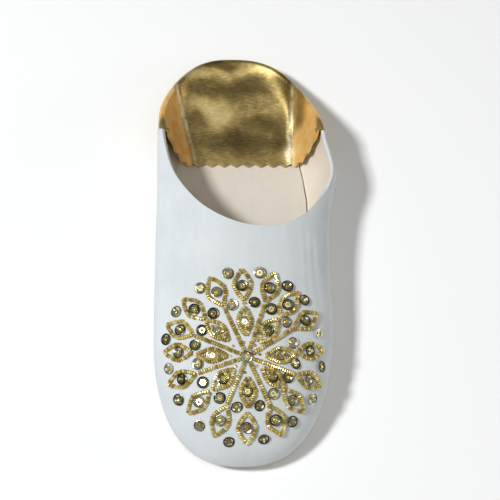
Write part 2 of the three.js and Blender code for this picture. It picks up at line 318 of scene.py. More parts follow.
# %% White, cream and tan leathers
def leather(name, dark, light, roughness, grain=1500.0, grain_depth=0.04 * MM, folds=0.25 * MM):
    material = new_material(name, light, roughness)
    shader = shader_of(material)
    cloud = object_noise(material, 34.0, 4.0)
    hide = object_noise(material, 260.0, 5.0, stretch=(1.0, 0.16, 0.6), roughness=0.6)
    mixed = material.node_tree.nodes.new("ShaderNodeMath")
    mixed.operation = "MULTIPLY_ADD"
    link(material, hide, mixed.inputs[0])
    mixed.inputs[1].default_value = 0.55  # share of the streaks against the clouds
    link(material, cloud, mixed.inputs[2])
    tone = ramp(material, mixed.outputs[0], [(0.58, dark), (0.96, light)])
    link(material, tone, shader.inputs["Base Color"])
    pores = object_noise(material, grain, 2.0)
    fine = bump(material, pores, 0.6, grain_depth)
    rumple = object_noise(material, 95.0, 4.0, stretch=(1.0, 0.45, 1.0))
    soft = bump(material, rumple, 0.5, folds, after=fine)
    link(material, soft, shader.inputs["Normal"])
    return material


white_leather = leather(
    "white_leather", (0.60, 0.63, 0.648), (0.67, 0.70, 0.712), 0.6, folds=0.8 * MM
)
shader_of(white_leather).inputs["Specular IOR Level"].default_value = 0.2
# The lining's cream is a little lighter than the sock leather: painted light for the inner walls,
# which lie in shade.
cream_leather = leather("cream_leather", (0.78, 0.70, 0.59), (0.83, 0.75, 0.64), 0.7)
sock_leather = leather(
    "sock_leather",
    (0.66, 0.60, 0.52),
    (0.72, 0.665, 0.58),
    0.6,
    grain=1100.0,
    grain_depth=0.08 * MM,
)
tan_leather = leather(
    "tan_leather", (0.40, 0.27, 0.16), (0.52, 0.37, 0.23), 0.75, grain=800.0, grain_depth=0.1 * MM
)
cut_edge = leather("cut_edge", (0.36, 0.25, 0.15), (0.47, 0.34, 0.22), 0.85)
white_thread = new_material("white_thread", (0.74, 0.73, 0.70), 0.8)
cream_thread = new_material("cream_thread", (0.60, 0.50, 0.36), 0.8)
for thread in (white_thread, cream_thread):
    twist = object_noise(thread, 2600.0, 2.0)
    link(thread, bump(thread, twist, 0.7, 0.06 * MM), shader_of(thread).inputs["Normal"])
print("leathers:", [m.name for m in bpy.data.materials if m.name.endswith("leather")])

# %% [markdown]
# ## Gold foil
# The back part is faced with metal foil on thin leather. Foil shows every dent, and its colour here
# also carries painted reflections: dark and pale patches, a painted warm reflection on the steep
# side facets, and along the creases a pale crumple that is part cracking and part painted
# highlight. Noise alone would put these marks anywhere. They follow the shape, so they come from an
# attribute that is painted on the piece further down, and only the crinkle and the mottling are
# noise.

# %% Gold foil
def mix_colour(material, share, first, second):
    node = material.node_tree.nodes.new("ShaderNodeMix")
    node.data_type = "RGBA"
    share_in, _, _, _, _, _, first_in, second_in = node.inputs[:8]
    link(material, share, share_in)
    for target, value in ((first_in, first), (second_in, second)):
        if isinstance(value, tuple):
            target.default_value = (*value, 1.0)
        else:
            link(material, value, target)
    return node.outputs[2]


def sums(material, kind, first, second):
    node = material.node_tree.nodes.new("ShaderNodeMath")
    node.operation = kind
    for target, value in zip(node.inputs, (first, second)):
        if isinstance(value, float):
            target.default_value = value
        else:
            link(material, value, target)
    return node.outputs[0]


def painted(material, name):
    node = material.node_tree.nodes.new("ShaderNodeAttribute")
    node.attribute_name = name
    split = material.node_tree.nodes.new("ShaderNodeSeparateColor")
    link(material, node.outputs["Color"], split.inputs["Color"])
    return split.outputs["Red"], split.outputs["Green"], split.outputs["Blue"]


gold_leather = new_material("gold_leather", (0.80, 0.60, 0.27), 0.48, 1.0)
# Painted light: a reflection tone, a warm reflection on the facets, and crease marks, part cracking
# and part highlight.
tone, warm_reflection, wear_and_highlight = painted(gold_leather, "foil")
crinkle = object_noise(gold_leather, 1150.0, 3.0, stretch=(0.3, 1.0, 1.0), roughness=0.6)
mottle = object_noise(gold_leather, 190.0, 5.0)
crumple = object_noise(gold_leather, 750.0, 3.0, roughness=0.7)
uneven = sums(gold_leather, "MULTIPLY", sums(gold_leather, "SUBTRACT", mottle, 0.5), 0.35)
lines = sums(gold_leather, "MULTIPLY", sums(gold_leather, "SUBTRACT", crinkle, 0.5), 0.55)
shade = sums(gold_leather, "ADD", tone, sums(gold_leather, "ADD", uneven, lines))
foil = ramp(
    gold_leather,
    shade,
    [
        (0.0, (0.14, 0.10, 0.036)),
        (0.3, (0.31, 0.225, 0.085)),
        (0.6, (0.68, 0.515, 0.21)),
        (1.0, (1.0, 0.85, 0.47)),
    ],
)
# The orange of the painted warm reflection on the steep facets, mottled.
flush = ramp(gold_leather, mottle, [(0.3, (1.0, 0.50, 0.12)), (0.65, (1.0, 0.69, 0.27))])
warm = mix_colour(gold_leather, warm_reflection, foil, flush)
scattered = sums(gold_leather, "ADD", warm_reflection, wear_and_highlight)
bare = sums(gold_leather, "SUBTRACT", 1.0, sums(gold_leather, "MULTIPLY", scattered, 0.7))
link(gold_leather, bare, shader_of(gold_leather).inputs["Metallic"])
# The pale crumple along the creases: cracking of the foil, brightened as a painted highlight.
cracked_and_highlit = sums(gold_leather, "MULTIPLY", wear_and_highlight, sums(gold_leather, "ADD", crumple, 0.35))
painted_foil_colour = mix_colour(gold_leather, cracked_and_highlit, warm, (1.0, 0.91, 0.60))
link(gold_leather, painted_foil_colour, shader_of(gold_leather).inputs["Base Color"])
fine_lines = bump(gold_leather, crinkle, 0.55, 0.12 * MM)
dents = bump(gold_leather, mottle, 0.35, 0.4 * MM, after=fine_lines)
cracks = sums(gold_leather, "MULTIPLY", crumple, wear_and_highlight)
broken = bump(gold_leather, cracks, 0.8, 0.5 * MM, after=dents)
link(gold_leather, broken, shader_of(gold_leather).inputs["Normal"])
print("gold foil:", len(gold_leather.node_tree.nodes), "nodes")

# %% [markdown]
# ## Upper
# The vamp and quarters are one sheet, white outside and cream inside. The frame's wall is a real 2
# mm thick, so its faces are sorted into outside, inside and the narrow strips between them, and
# the strips' edges are rounded before the whole is smoothed.

# %% Vamp and quarters
FOOT_BELOW = 9 * MM
COLLAR_ABOVE = 28 * MM
SEAM_FACES = 5  # a seam strip has at least as many faces, and stray corners have fewer


def strips_of(groups):
    """The strips along the bottom and top of a wall, told apart by their heights."""
    found = {}
    for group in groups[2:]:
        heights = [face.calc_center_median().z for face in group]
        if max(heights) < FOOT_BELOW:
            found.setdefault("bottom", group)
        elif min(heights) > COLLAR_ABOVE:
            found.setdefault("top", group)
    return found


upper, bm = copy_of("upper", "vamp_and_quarters")
groups = regions(bm)
print("upper face groups:", [len(group) for group in groups])
outside = max(groups[:2], key=lambda group: sum(face.calc_area() for face in group))
lining = groups[0] if outside is groups[1] else groups[1]
for face in lining:
    face.material_index = 1
strips = strips_of(groups)
collar_inner = path_between(strips["top"], lining)
upper_foot = path_between(strips["bottom"], outside)
seam_strips = [
    group for group in groups[2:] if group not in strips.values() and len(group) >= SEAM_FACES
]
side_seams = [path_between(group, outside) for group in seam_strips]
print("collar points", len(collar_inner), "foot points", len(upper_foot), "seams", len(side_seams))
soften(bm, sharp_edges(bm), 0.75 * MM)
close_up(upper, bm, white_leather, cream_leather)
subdivide(upper, 2)
settle(upper)
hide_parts("upper")

# %% [markdown]
# ## Wrinkles
# Soft leather never lies quite smooth. The long wrinkles run down the outer side of the vamp from
# the throat, with a few shallow ones across the instep. A cloth simulation would put them where it
# likes. Placed one by one, each is a row of the table, in millimetres: where it starts and ends,
# seen from above, and how deep and wide it is.

# %% Wrinkles of the vamp
WRINKLES = [
    {"x": 34, "station": 128, "to_x": 36, "to_station": 84, "depth": 0.24, "width": 1.5},
    {"x": 38, "station": 126, "to_x": 39, "to_station": 92, "depth": 0.28, "width": 1.7},
    {"x": 30, "station": 120, "to_x": 32, "to_station": 99, "depth": 0.10, "width": 1.6},
    {"x": 42, "station": 134, "to_x": 43, "to_station": 104, "depth": 0.15, "width": 2.0},
    {"x": -38, "station": 152, "to_x": -42, "to_station": 116, "depth": 0.16, "width": 2.2},
    {"x": -20, "station": 118, "to_x": 22, "to_station": 113, "depth": 0.12, "width": 5.0},
    {"x": -30, "station": 106, "to_x": 10, "to_station": 101, "depth": 0.10, "width": 6.0},
]


def crease_depth(point, rows):
    """How deep the listed creases are at a point, in metres, seen from above."""
    here = Vector(((point.x - BALL_X) / MM, station_of(point) / MM))
    total = 0.0
    for row in rows:
        start = Vector((row["x"], row["station"]))
        end = Vector((row["to_x"], row["to_station"]))
        along = end - start
        share = min(max((here - start).dot(along) / along.length_squared, 0.0), 1.0)
        away = (here - start - along * share).length
        fade = math.sin(math.pi * (0.08 + 0.84 * share)) ** 0.6
        trough = bell(away, row["width"]) - 0.45 * bell(away - 1.9 * row["width"], row["width"])
        total += row["depth"] * fade * trough
    return total * MM


def soften_vamp(point, normal):
    unevenness = noise.noise(point * 38.0) * 0.16 * MM
    if normal.z < 0.1:
        return unevenness * 0.5
    return unevenness - crease_depth(point, WRINKLES)


press(upper, soften_vamp)
print("vamp has", len(WRINKLES), "wrinkles")

# %% [markdown]
# ## Turned edge
# The white leather is turned in over the collar's edge and glued down, and the lining starts a
# couple of millimetres below it. Two sheets could be modelled, but they would meet in a step too
# thin to see. So the first faces inside the edge are white, and a fine cord of cut lining follows
# the line where the two meet.

# %% Turned collar edge
def surface_of(piece, material_index):
    points = [vert.co.copy() for vert in piece.data.vertices]
    faces = [
        tuple(face.vertices)
        for face in piece.data.polygons
        if face.material_index == material_index
    ]
    return BVHTree.FromPolygons(points, faces)


def smooth_line(points, rounds=2):
    for _ in range(rounds):
        middle = [(a + 2 * b + c) / 4 for a, b, c in zip(points, points[1:], points[2:])]
        points = [points[0], *middle, points[-1]]
    return points


TURN_IN = 2.6 * MM
CLEAR = 0.3 * MM  # the lining's cut edge lies this far beyond the turned leather
SIDES_FROM = 30 * MM  # further out than this, the collar runs along the foot and not across it

inside_wall = surface_of(upper, 1)
collar_line = [place for place, _ in walk(smooth_line(collar_inner), 1.2 * MM)]
for face in upper.data.polygons:
    if face.material_index == 1:
        nearest = min((face.center - place).length_squared for place in collar_line)
        if nearest < TURN_IN**2:
            face.material_index = 0


def round_cord(name, points, radius, material):
    """A cord of round section along a line of points."""
    data = bpy.data.curves.new(name, "CURVE")
    data.dimensions = "3D"
    data.bevel_depth = radius
    data.bevel_resolution = 1
    data.use_fill_caps = True
    spline = data.splines.new("POLY")
    spline.points.add(len(points) - 1)
    for slot, point in zip(spline.points, points):
        slot.co = (*point, 1.0)
    curve = bpy.data.objects.new(name + "_line", data)
    bpy.context.scene.collection.objects.link(curve)
    bpy.context.view_layer.update()
    mesh = bpy.data.meshes.new_from_object(curve)
    bpy.data.objects.remove(curve)
    mesh.materials.clear()
    piece = new_piece(name, mesh, material)
    mesh.shade_smooth()
    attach(piece, "root")
    print(name, len(mesh.polygons), "faces")
    return piece


lining_line = []
for place in collar_line:
    on_side = abs(place.x - BALL_X) > SIDES_FROM
    downward = Vector((0, 0, -1)) if on_side else Vector((0, -1, 0))
    on_wall, normal, _, _ = inside_wall.find_nearest(place)
    into = (downward - normal * downward.dot(normal)).normalized()
    on_wall, normal, _, _ = inside_wall.find_nearest(on_wall + into * (TURN_IN + CLEAR))
    lining_line.append(on_wall + normal * 0.05 * MM)
lining_edge = round_cord("lining_edge", smooth_line(lining_line, 3), 0.22 * MM, cut_edge)

# %% [markdown]
# ## Rosette
# The embroiderer pricks a flat paper pattern through onto the vamp. We do the same: the rosette is
# charted flat, in angles from the heel side and distances from its centre. Dropping it straight
# down would stretch it on the steep sides, so each point is walked out over the leather from the
# centre, step by step, as a tape measure would lie.

# %% Walking over the leather
ROSETTE_X = BALL_X + 0.2 * MM
ROSETTE_STATION = 53 * MM
STRIDE = 1.5 * MM

vamp = surface_of(upper, 0)
above = Vector((ROSETTE_X, TOE_Y + ROSETTE_STATION, 0.2))
heart, heart_normal, _, _ = vamp.ray_cast(above, Vector((0, 0, -1)))
print("rosette centre", [round(value / MM, 1) for value in heart])


def on_vamp(angle, distance):
    """Point and normal of the leather at a charted angle in degrees and distance in millimetres."""
    turn_by = math.radians(angle)
    heading = Vector((math.sin(turn_by), math.cos(turn_by), 0.0))
    heading = (heading - heart_normal * heading.dot(heart_normal)).normalized()
    place, normal = heart.copy(), heart_normal.copy()
    left = distance * MM
    while left > 1e-7:
        pace = min(STRIDE, left)
        place, normal, _, _ = vamp.find_nearest(place + heading * pace)
        heading = (heading - normal * heading.dot(normal)).normalized()
        left -= pace
    return place, normal


def charted(x, y):
    """The same for a charted point given across and along the foot."""
    return on_vamp(math.degrees(math.atan2(x, y)), math.hypot(x, y))


# %% [markdown]
# ## The pattern
# Sixteen outer petals, eight of them on spokes from the centre and eight with a smaller petal
# inside them, a sequin in the heart of each, and two rings of loose sequins between. It was sewn
# by hand, so no two distances are quite the same, and the chart keeps that.

# %% Chart of the rosette
# Each row holds angles in degrees and distances in millimetres, going round from the heel side.
OUTER_PETALS = [
    (-3, 39.5), (18.5, 40.5), (38, 37.5), (58, 39.5),
    (84, 36.5), (109.5, 37.5), (133, 35), (155.5, 38),
    (180, 38.5), (202.5, 37.5), (227, 36), (252, 38),
    (275, 38.5), (293.5, 40.5), (313.5, 39.5), (336, 39.5),
]  # fmt: skip
INNER_PETALS = [
    (-3, 19.5), (39, 18.5), (87, 18.5), (129, 18), (179, 19), (226, 17.5), (273, 19), (313, 21.5),
]  # fmt: skip
OUTER_SEQUINS = [
    (-12, 47), (9, 47), (30, 45.5), (45.5, 46),
    (71, 44.5), (96, 44.5), (121, 44.5), (144, 43.5),
    (168, 45.5), (192, 47), (215, 45.5), (239, 44.5),
    (263, 44.5), (284, 47.5), (304, 47.5), (327, 46),
]  # fmt: skip
MIDDLE_SEQUINS = [
    (-15, 29.5), (8, 30), (27, 29.5), (48, 29),
    (72.5, 26.5), (97.5, 27), (116.5, 25), (144.5, 24.5),
    (166, 27), (191.5, 27.5), (213.5, 26.5), (240, 27.5),
    (262.5, 27), (284, 29), (302, 28.5), (323.5, 30),
]  # fmt: skip
LOOSE_BEADS = [
    (-13, 8), (34, 7.5), (79, 7), (135, 7), (188, 8.5), (230, 8), (273, 9), (309, 9.5),
]  # fmt: skip
OUTER_PETAL = {"half_length": 8.7, "half_width": 4.6}
INNER_PETAL = {"half_length": 8.1, "half_width": 4.0}
PETAL_POINT = 1.5  # 1 draws a diamond, 2 an oval
BEAD_PITCH = 1.3
BEAD_RADIUS = 1.2
HAND = random.Random(16)  # the embroiderer's hand: every small unevenness is drawn from it


def petal_line(angle, distance, half_length, half_width):
    """A petal's outline across and along the foot, from its inner tip round to it again."""
    half_length *= HAND.uniform(0.96, 1.04)
    half_width *= HAND.uniform(0.92, 1.08)
    steps = 24
    shape = []
    for i in range(2 * steps):
        side = 1 if i < steps else -1
        along = (i / steps if side > 0 else 2 - i / steps) * 2 - 1
        out = side * half_width * (1 - abs(along) ** PETAL_POINT)
        shape.append((out, distance + along * half_length))
    shape.append(shape[0])
    cos, sin = math.cos(math.radians(angle)), math.sin(math.radians(angle))
    return [(x * cos + y * sin, y * cos - x * sin) for x, y in shape]


def straight_line(angle, near, far, end_angle=None):
    """A string from one distance to another, charted in the same way."""
    a = math.radians(angle)
    b = math.radians(angle if end_angle is None else end_angle)
    return [(near * math.sin(a), near * math.cos(a)), (far * math.sin(b), far * math.cos(b))]


SPOKE_START = 3.4
strings = {"outer_petal_beads": [], "inner_petal_beads": [], "spoke_beads": []}
for i, (angle, distance) in enumerate(OUTER_PETALS):
    strings["outer_petal_beads"].append(petal_line(angle, distance, **OUTER_PETAL))
    if i % 2:
        petal_tip = distance - OUTER_PETAL["half_length"] - 1
        strings["spoke_beads"].append(straight_line(angle, SPOKE_START, petal_tip))
for i, (angle, distance) in enumerate(INNER_PETALS):
    strings["inner_petal_beads"].append(petal_line(angle, distance, **INNER_PETAL))
    outer_angle, outer_distance = OUTER_PETALS[2 * i]
    near = distance + INNER_PETAL["half_length"] + 0.8
    far = outer_distance - OUTER_PETAL["half_length"] - 0.6
    if far - near > BEAD_PITCH:
        strings["spoke_beads"].append(straight_line(angle, near, far, outer_angle))
print({name: len(lines) for name, lines in strings.items()})

# %% [markdown]
# ## Seed beads
# One bead is a short round barrel with a hole. A swept tube would be lighter, but the light breaks
# on single beads. So one is spun from a small profile, and copies of it are laid along each
# string. There are nearly a thousand, so it has few faces. Every bead carries its own tint, as
# glass from a mixed lot does, in a colour attribute that the material reads.

# %% One seed bead
def spun(name, profile, steps, ring=True):
    """A body turned round Z from (radius, height) pairs: a closed ring, or a closed spindle."""
    bm = bmesh.new()
    verts = [bm.verts.new((radius, 0, height)) for radius, height in profile]
    edges = [bm.edges.new(pair) for pair in zip(verts, verts[1:])]
    if ring:
        edges.append(bm.edges.new((verts[-1], verts[0])))
    bmesh.ops.spin(
        bm,
        geom=verts + edges,
        cent=(0, 0, 0),
        axis=(0, 0, 1),
        angle=2 * math.pi,
        steps=steps,
        use_merge=True,
    )
    bmesh.ops.remove_doubles(bm, verts=bm.verts, dist=1e-5)
    bmesh.ops.recalc_face_normals(bm, faces=bm.faces)
    mesh = bpy.data.meshes.new(name)
    bm.to_mesh(mesh)
    bm.free()
    return mesh


half_bead = [(0.4, 0.62), (0.97, 0.56), (BEAD_RADIUS, 0.2)]
bead_profile = half_bead + [(radius, -height) for radius, height in reversed(half_bead)]
bead_pattern = spun("bead", bead_profile, 9)
print("one bead has", len(bead_pattern.polygons), "faces")


# %% Laying copies of a pattern
def lay_copies(name, pattern, places, *materials):
    """Joins a copy of the pattern at each (matrix, tint) into one piece."""
    piece = new_piece(name, bpy.data.meshes.new(name), *materials)
    bm = bmesh.new()
    tint = bm.loops.layers.float_color.new("tint")
    for done, (matrix, shade) in enumerate(places):
        bm.from_mesh(pattern)
        bm.verts.ensure_lookup_table()
        bm.faces.ensure_lookup_table()
        bmesh.ops.transform(bm, matrix=matrix, verts=bm.verts[done * len(pattern.vertices):])
        for face in bm.faces[done * len(pattern.polygons):]:
            for loop in face.loops:
                loop[tint] = (*shade, 1.0)
    bm.to_mesh(piece.data)
    bm.free()
    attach(piece, "root")
    print(name, len(places), "copies,", len(piece.data.polygons), "faces")
    return piece


def seat(place, normal, along, lift, size=MM):
    """Matrix that stands a pattern on the leather, its Z along a string or up from the leather."""
    z = along.normalized()
    x = normal.cross(z)
    if x.length < 1e-6:
        x = Vector((1, 0, 0)).cross(z)
    x.normalize()
    y = z.cross(x)
    basis = Matrix((x, y, z)).transposed().to_4x4()
    return Matrix.Translation(place + normal * lift) @ basis @ Matrix.Scale(size, 4)


def thread_beads(line):
    """Bead places along a charted line, a pitch apart."""
    lengths = [0.0]
    for (x0, y0), (x1, y1) in zip(line, line[1:]):
        lengths.append(lengths[-1] + math.hypot(x1 - x0, y1 - y0))
    count = max(round(lengths[-1] / BEAD_PITCH), 1)
    spots = []
    k = 0
    for i in range(count + 1):
        wanted = lengths[-1] * i / count
        while k < len(lengths) - 2 and lengths[k + 1] < wanted:
            k += 1
        share = (wanted - lengths[k]) / max(lengths[k + 1] - lengths[k], 1e-9)
        (x0, y0), (x1, y1) = line[k], line[k + 1]
        spots.append(charted(x0 + (x1 - x0) * share, y0 + (y1 - y0) * share))
    places = []
    for (a, normal_a), (b, normal_b) in zip(spots, spots[1:]):
        normal = (normal_a + normal_b).normalized()
        size = MM * HAND.uniform(0.93, 1.06)
        tint = HAND.random()
        wobble = normal.cross(b - a).normalized() * HAND.uniform(-0.16, 0.16) * MM
        matrix = seat((a + b) / 2 + wobble, normal, b - a, 0.8 * BEAD_RADIUS * MM, size)
        places.append((matrix, (tint, HAND.random(), 0.0)))
    return places


# %% [markdown]
# Gold-lined glass and metallised film both shine like soft metal, and no two bits of them have
# quite the same tone. One material for each bead would be hundreds of them. Instead one material
# turns the tint that a copy carries into a colour, from coppery and dark to nearly white.

# %% Glass bead and sequin finishes
def tinted(name, stops, roughness, metallic):
    material = new_material(name, stops[0][1], roughness, metallic)
    tint, _, _ = painted(material, "tint")
    link(material, ramp(material, tint, stops), shader_of(material).inputs["Base Color"])
    return material


bead_glass = tinted(
    "bead_glass",
    [
        (0.0, (0.55, 0.24, 0.09)),
        (0.1, (0.36, 0.27, 0.06)),
        (0.5, (0.66, 0.51, 0.14)),
        (0.85, (0.84, 0.69, 0.25)),
        (1.0, (0.98, 0.90, 0.60)),
    ],
    0.22,
    0.6,
)
sequin_foil = tinted(
    "sequin_foil",
    [
        (0.0, (0.30, 0.29, 0.16)),
        (0.45, (0.56, 0.55, 0.36)),
        (0.85, (0.78, 0.77, 0.58)),
        (1.0, (0.95, 0.95, 0.88)),
    ],
    0.16,
    1.0,
)
# The rim's near-black is painted shade and dark reflection on the cup's steep edge.
sequin_rim_painted_shade = tinted(
    "sequin_rim_painted_shade",
    [(0.0, (0.035, 0.04, 0.025)), (0.6, (0.11, 0.115, 0.07)), (1.0, (0.50, 0.48, 0.34))],
    0.2,
    1.0,
)

# %% Sew the bead strings
for name, lines in strings.items():
    places = [place for line in lines for place in thread_beads(line)]
    piece = lay_copies(name, bead_pattern, places, bead_glass)

# %% [markdown]
# ## Cup sequins
# A cup sequin is a foil disc pressed over a six-sided die: a flat six-sided floor, six facets up
# to a round rim, and a hole for the thread. It could be a cone, but the facets are what flashes.
# The rings are drawn out of the hole one after another. A seed bead in the cup holds the stitch.

# %% One cup sequin
CUP_RINGS = ((1.55, 0.0, True), (2.55, 0.62, True), (3.0, 0.74, False), (3.22, 0.66, False))
RIM_FROM = 2.6
FILM = 0.08


def cup_pattern():
    """Hole, flat floor, six facets and a rim, each ring drawn out of the one before."""
    bm = bmesh.new()
    bmesh.ops.create_circle(bm, segments=18, radius=0.5)
    loop = bm.edges[:]
    for radius, height, faceted in CUP_RINGS:
        drawn = bmesh.ops.extrude_edge_only(bm, edges=loop)["geom"]
        loop = [part for part in drawn if isinstance(part, bmesh.types.BMEdge)]
        for vert in {vert for edge in loop for vert in edge.verts}:
            angle = math.atan2(vert.co.y, vert.co.x)
            within = angle % (math.pi / 3) - math.pi / 6
            flat = math.cos(math.pi / 6) / math.cos(within) if faceted else 1.0
            reach = radius * (0.35 + 0.65 * flat)
            vert.co = (reach * math.cos(angle), reach * math.sin(angle), height)
    # Faces out at the rim take the second finish, which is painted shade.
    for face in bm.faces:
        face.material_index = int(face.calc_center_median().xy.length > RIM_FROM)
    bmesh.ops.recalc_face_normals(bm, faces=bm.faces)
    bmesh.ops.solidify(bm, geom=bm.faces[:], thickness=FILM)
    bmesh.ops.recalc_face_normals(bm, faces=bm.faces)
    mesh = bpy.data.meshes.new("cup")
    bm.to_mesh(mesh)
    bm.free()
    return mesh


cup = cup_pattern()
print("one sequin has", len(cup.polygons), "faces")


# %% Sew on the sequins and small beads
def sequin_places(chart, lean):
    """Seats for sequins that lean a little from the leather, each turned by its own angle."""
    places = []
    for angle, distance in chart:
        place, normal = on_vamp(angle, distance)
        tilted = (normal + Vector([HAND.uniform(-lean, lean) for _ in range(3)])).normalized()
        spin = Matrix.Rotation(HAND.uniform(0, math.pi / 3), 4, "Z")
        size = MM * HAND.uniform(0.96, 1.03)
        matrix = seat(place, normal, tilted, 0.35 * MM, size) @ spin
        places.append((matrix, (HAND.random(), HAND.random(), 0.0)))
    return places


def bead_places(chart, lift, size):
    """Seats for single beads that lie over their hole."""
    places = []
    for angle, distance in chart:
        place, normal = on_vamp(angle, distance)
        lying = (normal + Vector([HAND.uniform(-0.3, 0.3) for _ in range(3)])).normalized()
        places.append((seat(place, normal, lying, lift, size), (HAND.random(), 0.0, 0.0)))
    return places


petal_hearts = [(angle, distance - 0.4) for angle, distance in OUTER_PETALS + INNER_PETALS]
for name, chart, lean in (
    ("petal_sequins", petal_hearts, 0.22),
    ("outer_sequins", OUTER_SEQUINS, 0.2),
    ("middle_sequins", MIDDLE_SEQUINS, 0.2),
    ("heart_sequin", [(0, 0)], 0.2),
):
    sequins = lay_copies(name, cup, sequin_places(chart, lean), sequin_foil, sequin_rim_painted_shade)
every_sequin = petal_hearts + OUTER_SEQUINS + MIDDLE_SEQUINS + [(0, 0)]
crowd = [
    (angle + turn * HAND.uniform(0.8, 1.2), distance + reach * HAND.uniform(0.8, 1.2))
    for angle, distance in INNER_PETALS
    for turn, reach in ((-5, 2.2), (0, 3.8), (5, 2.2), (-5, -2.4), (0, -3.8), (5, -2.4))
]
holding = bead_places(every_sequin, 1.0 * MM, 0.68 * MM)
loose = bead_places(LOOSE_BEADS, 0.5 * MM, 0.68 * MM) + bead_places(crowd, 0.7 * MM, 0.75 * MM)
small_beads = lay_copies("holding_beads", bead_pattern, holding + loose, bead_glass)

# %% [markdown]
# ## Back part
# The gold back is trodden down: it turns over a rounded fold round the heel and lies on the
# insole, with a crease on each side where the steep facets stand up to the side seams. A flat
# sheet could be folded by simulation, but the folded shape is in the frame already. We keep it,
# round its edges and add what the foil shows: a low ridge along each crease, a few shallow dents,
# and the painted reflections and highlights in its colour.

# %% Gold back
back, bm = copy_of("heel_flap", "gold_back")
groups = regions(bm)
print("back face groups:", [len(group) for group in groups])
strips = strips_of(groups)
back_foot = path_between(strips["bottom"], groups[0])
soften(bm, sharp_edges(bm), 0.35 * MM)
close_up(back, bm, gold_leather)
subdivide(back, 2)
settle(back)
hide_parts("heel_flap")

# %% Creases, dents and painted reflections in the foil
# Each crease is a line of (station, x) in millimetres, from the pinked edge back to the fold.
CREASES = {
    "inner": [(181, -25.6), (188, -26.8), (201, -29.8), (214, -33.4), (226, -36.5)],
    "outer": [(181, 29.4), (188, 29.6), (198, 30.0), (212, 31.1), (225, 31.0)],
}
PLAIN_TONE = 0.47
# Painted reflections, dark (negative) and pale (positive) patches: x, station, reach across and
# along, tone.
PAINTED_REFLECTIONS = [
    (-9, 242.3, 11, 2.8, -0.50),
    (-20, 228.5, 13, 5.0, -0.34),
    (11, 231.0, 13, 5.5, -0.50),
    (-2, 225.5, 12, 5.0, -0.40),
    (23, 226.5, 9, 7.0, -0.40),
    (28, 216.0, 5, 8.0, -0.22),
    (-20, 216.5, 11, 4.0, 0.22),
    (6, 217.5, 13, 3.5, -0.12),
    (-25, 208, 5.5, 7.0, -0.28),
    (-11, 209, 8, 5.5, 0.26),
    (13, 207, 11, 5.0, -0.38),
    (-9, 196, 17, 7.0, -0.28),
    (8, 193, 15, 8.0, -0.30),
    (24, 198, 6, 8.0, -0.26),
    (-21, 187, 6, 4.0, -0.05),
    (-25, 235, 9, 2.8, 0.28),
    (17, 240, 13, 2.2, 0.10),
]


def crease_x(name, station):
    """Where a crease runs at a station, in millimetres from the ball's middle."""
    line = CREASES[name]
    for (near, x), (far, to_x) in zip(line, line[1:]):
        if station <= far or far == line[-1][0]:
            return x + (to_x - x) * (station - near) / (far - near)


def foil_state(point, normal):
    """Relief in millimetres, painted reflection tone, painted warm reflection, and crease marks of
    the foil at a point; the crease marks are part cracking and part painted highlight.
    """
    x, station = (point.x - BALL_X) / MM, station_of(point) / MM
    if normal.z < 0.1 or station < 176:
        return 0.0, 0.55, 0.0, 0.0
    on_inner = x - crease_x("inner", station)
    on_outer = crease_x("outer", station) - x
    height = point.z / MM
    wander = noise.noise(point * 110.0) * 0.8
    top = smooth_step(229, 223, station)
    inner = bell(on_inner + wander * 0.4, 1.25) * top
    outer = bell(on_outer + wander, 1.5) * top
    # A pale spot at the foot of the outer crease: a painted highlight on a small bump.
    foot = bell(math.hypot((x - 28.6) / 1.0, (station - 187) / 1.5), 2.6)
    rough = 0.62 + 0.6 * noise.noise(point * 420.0)
    elsewhere = point * 90.0 + Vector((7, 0, 0))
    warp = Vector((noise.noise(point * 90.0), noise.noise(elsewhere), 0)) * 3.5
    tone = PLAIN_TONE
    for px, ps, across, along, change in PAINTED_REFLECTIONS:
        away = math.hypot((x + warp.x - px) / across, (station + warp.y - ps) / along)
        tone += change * math.exp(-(away**3))
    # On the steep facets the tone is set level under a painted warm reflection; just beyond the
    # outer crease lies a band of painted shade.
    steep = smooth_step(1.0, 3.0, max(-on_inner, -on_outer)) * smooth_step(240, 226, station)
    outer_shade = smooth_step(0, 3.5, -on_outer) * smooth_step(9, 5, -on_outer)
    outer_shade *= smooth_step(196, 206, station)
    tone = tone * (1 - steep) + 0.42 * steep - 0.25 * outer_shade
    warm_reflection = steep * (0.85 - 0.6 * outer_shade) * smooth_step(38.5, 34, height)
    # Crease marks and the pale spot: part cracking of the foil, part painted highlight.
    wear_and_highlight = min(1.0, 1.1 * inner * rough + 0.8 * outer * rough + foot)
    relief = 0.55 * inner + 0.75 * outer * (0.8 + 0.5 * wander) + 0.25 * foot
    relief += 0.40 * noise.noise(point * 52.0) * (1 - 0.5 * steep)
    return relief, tone, warm_reflection, wear_and_highlight


press(back, lambda point, normal: foil_state(point, normal)[0] * MM)
# The colour attribute takes the painted reflection tone, the painted warm reflection and the crease
# marks with their painted highlight.
paint = back.data.color_attributes.new("foil", "FLOAT_COLOR", "POINT")
for vert in back.data.vertices:
    _, tone, warm_reflection, wear_and_highlight = foil_state(vert.co, vert.normal)
    paint.data[vert.index].color = (min(max(tone, 0.0), 1.0), warm_reflection, wear_and_highlight, 1.0)
print("foil painted on", len(paint.data), "points")

# %% [markdown]
# ## Sole
# A single tan leather sole, its edge lightly rounded. Underneath, a shallow channel is cut a
# little inside the edge; the closing thread would lie in it, safe from wear. A groove could be
# carved with a boolean, but that leaves ragged faces. Four insets make it cleanly: in to its line,
# down its wall, across its floor, and up again.

# %% Sole with its channel
# Each inset's width along the sole, and how far it goes out of the sole (or into it, negative).
CHANNEL_CUTS = ((3.0, 0.0), (0.3, -0.5), (0.9, 0.0), (0.3, 0.5))

